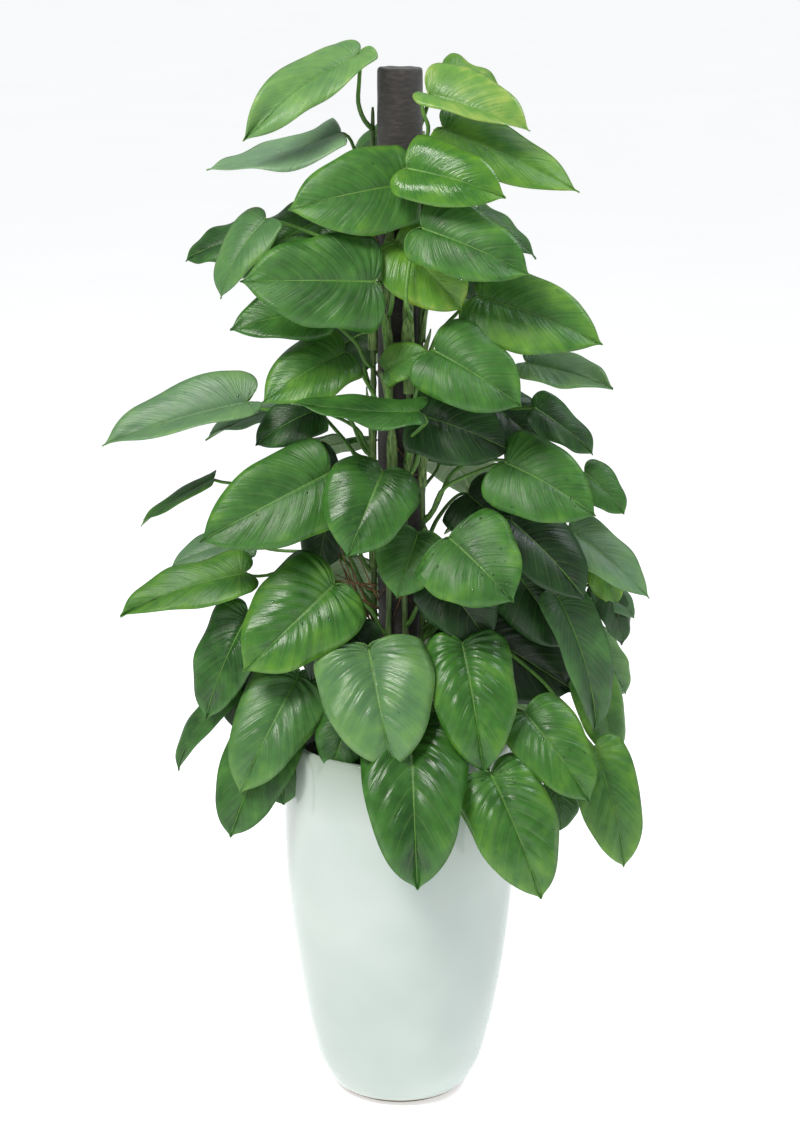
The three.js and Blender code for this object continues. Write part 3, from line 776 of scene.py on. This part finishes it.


# How each leaf differs. tone runs from 0, deep green, to 1, yellow green. Its lowest values, as on
# leaf 30, are partly painted shade for leaves that lie in the plant's shadow. grey is its bloom and
# wax its shine;
# quilt, swell, wave and fold bend it, slim narrows it, and drops wet it.
LOOKS = {
    1: {"tone": 0.62, "grey": 0.18, "swell": 0.2, "slim": 0.8, "fold": 0.22},
    2: {"tone": 0.5, "grey": 0.45, "left_lobe": 0.2, "right_lobe": 0.2},
    3: {"tone": 0.44, "drops": 5},
    4: {"tone": 0.44},
    5: {"tone": 0.72, "grey": 0.1, "quilt": 0.1, "wax": 0.5, "wave": 0.02},
    6: {"tone": 0.66},
    7: {"tone": 0.58, "drops": 6},
    8: {"tone": 0.52, "quilt": 0.15, "wax": 1.0, "wave": 0.03},
    9: {"tone": 0.45, "drops": 6},
    10: {"tone": 0.66, "wax": 0.4},
    11: {"tone": 0.52, "drops": 8},
    13: {"tone": 0.48, "grey": 0.12},
    14: {"tone": 0.28},
    15: {"tone": 0.42, "wax": 0.5},
    16: {"tone": 0.38, "quilt": 0.9},
    17: {"tone": 0.36, "wax": 0.5},
    18: {"tone": 0.5, "wax": 0.4},
    19: {"tone": 0.5, "grey": 0.3, "drops": 14},
    20: {"tone": 0.5, "grey": 0.5},
    21: {"tone": 0.34},
    22: {"tone": 0.42, "drops": 7},
    23: {"tone": 0.36, "wax": 0.5},
    24: {"tone": 0.42, "swell": 0.18},
    25: {"tone": 0.54, "grey": 0.25},
    26: {"tone": 0.22, "wave": 0.2},
    27: {"tone": 0.42, "drops": 12},
    28: {"tone": 0.42, "drops": 26, "quilt": 0.5},
    29: {"tone": 0.42},
    30: {"tone": 0.08},
    31: {"tone": 0.48, "grey": 0.3},
    32: {"tone": 0.4},
    33: {"tone": 0.5},
    34: {"tone": 0.48, "quilt": 1.9, "drops": 8, "wax": 0.5, "slim": 1.04},
    35: {"tone": 0.32, "swell": 0.2, "wax": 0.4},
    36: {"tone": 0.34},
    37: {"tone": 0.44, "grey": 0.08, "quilt": 1.8, "wax": 0.4},
    38: {"tone": 0.36},
    39: {"tone": 0.52, "grey": 0.2, "quilt": 2.3, "drops": 4, "wax": 0.6, "slim": 1.08},
    40: {"tone": 0.44, "quilt": 2.3, "wax": 0.6},
    41: {"tone": 0.37, "quilt": 2.3, "wax": 0.5, "slim": 1.1},
    42: {"tone": 0.48, "quilt": 2.1, "drops": 14, "wax": 0.5},
    43: {"tone": 0.46, "quilt": 1.8, "drops": 16, "wax": 0.3},
    44: {"tone": 0.52, "quilt": 1.4},
    45: {"tone": 0.3, "grey": 0.06},
    46: {"tone": 0.5, "grey": 0.15},
}
YOUNG = (5, 8, 10)
CAD_LEAVES = sum(name.startswith("leaf_") for name in NODES)
# Leaves behind and between those of the frame: vine, height it joins, base, tip, width, the way
# it faces, look. Millimetres, heights from the lip. Their darkest tones are partly painted shade.
SMALLER_LEAVES = [
    ("left", 640, (-40, 30, 760), (-140, 40, 690), 95, (0, 35), {"tone": 0.4, "grey": 0.3}),
    ("left", 430, (-120, -10, 490), (-210, -20, 440), 80, (-10, 40), {"tone": 0.2}),
    ("frontLeft", 480, (-20, -70, 560), (40, -90, 590), 60, (0, 35), {"tone": 0.55}),
    ("front", 400, (30, -50, 490), (160, -60, 440), 120, (5, 30), {"tone": 0.12}),
    ("right", 330, (270, 20, 390), (330, 10, 330), 65, (20, 30), {"tone": 0.42}),
    ("right", 190, (280, 20, 270), (320, 10, 190), 70, (20, 30), {"tone": 0.62}),
    ("right", 160, (290, 30, 220), (350, 20, 170), 55, (30, 40), {"tone": 0.4, "grey": 0.2}),
    ("left", 200, (-220, 20, 290), (-340, 10, 250), 70, (-10, 55), {"tone": 0.4, "grey": 0.3}),
    ("left", 250, (-100, 0, 340), (-120, -20, 250), 85, (-20, 20), {"tone": 0.1}),
    ("right", 100, (80, -20, 180), (260, -30, 70), 160, (15, 20), {"tone": 0.02}),
    ("right", 60, (280, 0, 90), (320, -10, -50), 90, (40, 15), {"tone": 0.5}),
    ("right", 170, (170, -20, 250), (240, -40, 140), 110, (15, 20), {"tone": 0.2}),
    ("back", 150, (300, 20, 230), (330, 10, 130), 70, (40, 20), {"tone": 0.2}),
    ("right", -20, (230, -40, -60), (240, -50, -140), 70, (25, 10), {"tone": 0.3}),
    ("frontLeft", 0, (-70, -100, 60), (-100, -130, -20), 90, (-10, 20), {"tone": 0.3}),
    ("left", 20, (-220, 0, 100), (-250, -20, 10), 85, (-30, 15), {"tone": 0.1}),
    ("left", -10, (-180, -60, 0), (-170, -80, -90), 85, (0, 15), {"tone": 0.28}),
    ("right", 420, (120, 20, 500), (210, 30, 420), 100, (20, 30), {"tone": 0.12}),
    ("left", 330, (-90, 40, 400), (-170, 60, 300), 100, (-20, 30), {"tone": 0.08}),
    ("right", 300, (100, 10, 360), (190, -10, 270), 115, (15, 25), {"tone": 0.08}),
    ("front", 180, (60, -60, 250), (130, -80, 160), 110, (5, 20), {"tone": 0.06}),
    ("frontLeft", 120, (-70, -50, 190), (-130, -80, 100), 110, (-5, 20), {"tone": 0.08}),
    ("right", 640, (60, 30, 720), (150, 60, 640), 105, (10, 30), {"tone": 0.2}),
    ("left", 520, (-60, 40, 590), (-150, 70, 520), 105, (-10, 30), {"tone": 0.18}),
    ("back", 760, (30, 90, 850), (120, 190, 770), 110, (140, 35), {"tone": 0.4}),
    ("back", 680, (-70, 90, 760), (-180, 180, 690), 120, (215, 35), {"tone": 0.44}),
    ("back", 560, (60, 100, 650), (190, 180, 570), 125, (140, 32), {"tone": 0.4}),
    ("back", 520, (-30, 110, 600), (-40, 240, 510), 125, (180, 30), {"tone": 0.42}),
    ("back", 400, (80, 90, 480), (200, 190, 390), 130, (145, 30), {"tone": 0.38}),
    ("back", 350, (-80, 100, 420), (-190, 210, 330), 130, (215, 30), {"tone": 0.44}),
    ("back", 240, (-60, 110, 320), (-90, 250, 220), 135, (190, 28), {"tone": 0.4}),
    ("back", 200, (110, 100, 280), (220, 200, 180), 130, (140, 26), {"tone": 0.42}),
    ("back", 110, (-110, 100, 180), (-220, 180, 70), 130, (220, 24), {"tone": 0.38}),
    ("back", 60, (70, 120, 130), (90, 240, 0), 130, (170, 20), {"tone": 0.4}),
    ("back", 10, (-60, 130, 60), (-80, 230, -90), 125, (190, 18), {"tone": 0.42}),
    ("back", 0, (140, 110, 50), (190, 190, -90), 120, (140, 18), {"tone": 0.4}),
]


def make_leaves():
    """The leaves of the frame, then the smaller ones."""
    for number in range(1, CAD_LEAVES + 1):
        node = NODES[f"leaf_{number:02d}"]
        look = {"tone": 0.44 + 0.06 * math.sin(number * 2.4), **LOOKS.get(number, {})}
        slot = "young_leaf" if number in YOUNG else "leaf"
        make_leaf(f"foliage_{number:02d}", leaf_frame_of(node), look, number, slot,
                  (node.name,))
    for number, (*row, look) in enumerate(SMALLER_LEAVES, 1):
        make_leaf(f"small_foliage_{number:02d}", leaf_frame_from(*row), look, 100 + number)


def make_drops():
    """Flattened beads of water that sit a quarter of their size above the leaf."""
    beads = []
    for place, normal, size in WETTED:
        bpy.ops.mesh.primitive_ico_sphere_add(subdivisions=2, radius=size * MM)
        bead = bpy.context.view_layer.objects.active
        bead.scale = (1.0, 1.0, 0.6)
        bead.rotation_euler = normal.to_track_quat("Z", "Y").to_euler()
        bead.location = place + normal * size * 0.25 * MM
        bpy.ops.object.transform_apply(location=True, rotation=True, scale=True)
        bead.data.materials.append(WATER)
        bpy.ops.object.shade_smooth()
        beads.append(bead)
    finish(joined(beads, "water_beads"), "leaf")


# ---------------------------------------------------------------- sheaths and roots
SHEATH_WALL = 0.6
ROOTS, DEAD_STALKS = 40, 9
CLING = 0.0335  # just outside the sleeve


def make_sheaths():
    """The papery sheaths that wrap the stems at their joints and stand off at the top."""
    dice = random.Random(31)
    strips = []
    for vine, count, bottom, top in (("frontLeft", 5, 0.96, 1.3), ("front", 6, 0.92, 1.31),
                                     ("left", 4, 0.8, 1.4), ("right", 5, 0.8, 1.38),
                                     ("back", 5, 0.8, 1.36)):
        for i in range(count):
            start = bottom + (top - bottom) * (i + dice.uniform(0, 0.6)) / count
            length, wide = dice.uniform(0.07, 0.12), dice.uniform(1.1, 1.7)
            turn, flare = dice.uniform(-0.9, 0.9), dice.uniform(0.003, 0.011)
            bpy.ops.mesh.primitive_grid_add(x_subdivisions=6, y_subdivisions=14, size=2.0)
            strip = bpy.context.view_layer.objects.active
            for vertex in strip.data.vertices:
                along = (vertex.co.y + 1) / 2
                axis = on_vine("vine_" + vine, start + along * length)
                away = math.atan2(axis[1], axis[0])
                narrow = wide * (1 - along**2.2) + 0.05
                bearing = away + turn + vertex.co.x * narrow
                reach = 0.0068 + flare * along**2 + 0.0012 * vertex.co.x**2
                vertex.co = (axis[0] + reach * math.cos(bearing),
                             axis[1] + reach * math.sin(bearing), start + along * length)
            strip.data.materials.append(SHEATH)
            wall = strip.modifiers.new("thickness", "SOLIDIFY")
            wall.thickness = SHEATH_WALL * MM
            apply_all(strip)
            bpy.ops.object.shade_smooth()
            strips.append(outward(strip))
    finish(joined(strips, "leaf_sheaths"), "stem")


def make_roots():
    """Aerial roots that cling round the sleeve, and a few dead stalks that lean out from it."""
    dice = random.Random(8)
    roots = []
    for i in range(ROOTS):
        vine = VINE_NAMES[i % len(VINE_NAMES)]
        height = dice.uniform(0.56, 1.36)
        start = on_vine(vine, height)
        bearing, way = math.atan2(start[1], start[0]), dice.choice((-1, 1))
        swing, drop = dice.uniform(0.5, 1.3) * way, dice.uniform(-0.02, 0.09)
        shares = np.linspace(0, 1, 12)
        wobble = [0.05 * noise.noise(Vector((i * 3.1, share * 4, 0))) for share in shares]
        points = [((CLING + 0.004 * (1 - share) ** 3) * math.cos(bearing + swing * share + w),
                   (CLING + 0.004 * (1 - share) ** 3) * math.sin(bearing + swing * share + w),
                   height - drop * share + w * 0.1) for share, w in zip(shares, wobble)]
        roots.append(tube(points, np.linspace(1.5, 0.5, 12) * MM, ROOT, 6))
    for i in range(DEAD_STALKS):
        start = np.array([-0.034 + 0.004 * dice.uniform(-1, 1), -0.034, 0.7 + 0.012 * i])
        end = np.array([dice.uniform(-0.105, -0.06), dice.uniform(-0.07, -0.03),
                        dice.uniform(0.79, 0.87)])
        middle = (start + end) / 2 + np.array([dice.uniform(-0.012, 0.004), -0.012, 0.0])
        shares = np.linspace(0, 1, 10)[:, None]
        points = (1 - shares) ** 2 * start + 2 * shares * (1 - shares) * middle + shares**2 * end
        roots.append(tube(points, np.linspace(1.9, 0.7, 10) * MM, ROOT, 6))
    finish(joined(roots, "aerial_roots"), "stem")


# ---------------------------------------------------------------- the scene
def make_floor():
    """A wide pale floor that glows a little, so that it reads as white paper."""
    bpy.ops.mesh.primitive_circle_add(vertices=96, radius=60, fill_type="NGON")
    floor = bpy.context.view_layer.objects.active
    floor.name = "studio_floor"
    made, tree, shader = new_material("studio_paper")
    place = put(tree, "TexCoord").outputs["Object"]
    grain = put(tree, "TexNoise", {"Vector": place, "Scale": 1000 / 900, "Detail": 2.0})
    colour = put(tree, "ValToRGB", {"Fac": grain}, [(0.3, "#efefef"), (0.7, "#f4f4f4")])
    fill(tree, shader, {"Base Color": colour, "Roughness": 0.9,
                        "Emission Color": linear("#ffffff"), "Emission Strength": 0.6})
    floor.data.materials.append(made)


def make_light(name, place, aim, size, power, colour):
    lamp = bpy.data.lights.new(name, "AREA")
    lamp.shape = "RECTANGLE"
    lamp.size, lamp.size_y = size
    lamp.energy = power
    lamp.color = linear(colour)[:3]
    obj = bpy.data.objects.new(name, lamp)
    obj.location = place
    obj.rotation_euler = (Vector(aim) - Vector(place)).to_track_quat("-Z", "Y").to_euler()
    bpy.context.scene.collection.objects.link(obj)


def make_studio():
    """Pale surroundings, two softboxes, and the camera, 3.7 m away and looking down 14.6 degrees."""
    world = bpy.data.worlds.new("studio")
    world.use_nodes = True
    fill(world.node_tree, world.node_tree.nodes["Background"],
         {"Color": linear("#f4f8fb"), "Strength": 0.42})
    bpy.context.scene.world = world
    make_light("softbox_left", (-1.6, -2.2, 4.0), (0, 0, 0.9), (1.4, 1.4), 165, "#fffdf8")
    make_light("softbox_right", (2.4, 0.4, 3.8), (0, 0, 0.9), (1.2, 1.2), 60, "#f2f8ff")
    lens = bpy.data.cameras.new("camera")
    lens.sensor_fit = "VERTICAL"
    lens.sensor_height = 36.0
    lens.lens = 84.56
    lens.clip_end = 300
    camera = bpy.data.objects.new("camera", lens)
    camera.location = (0, -3.74, 1.795)
    camera.rotation_euler = (math.radians(90 - 14.6), 0, 0)
    bpy.context.scene.collection.objects.link(camera)
    bpy.context.scene.camera = camera
    bpy.context.scene.view_settings.view_transform = "Standard"


make_studio()
make_floor()
make_pot()
make_soil()
make_sleeve()
NODES["pole_core"].data.materials.clear()
NODES["pole_core"].data.materials.append(WOOD)
for count, vine_name in enumerate(VINE_NAMES):
    make_vine(vine_name, 20 + count)
make_leaves()
make_drops()
make_sheaths()
make_roots()

bpy.context.view_layer.update()
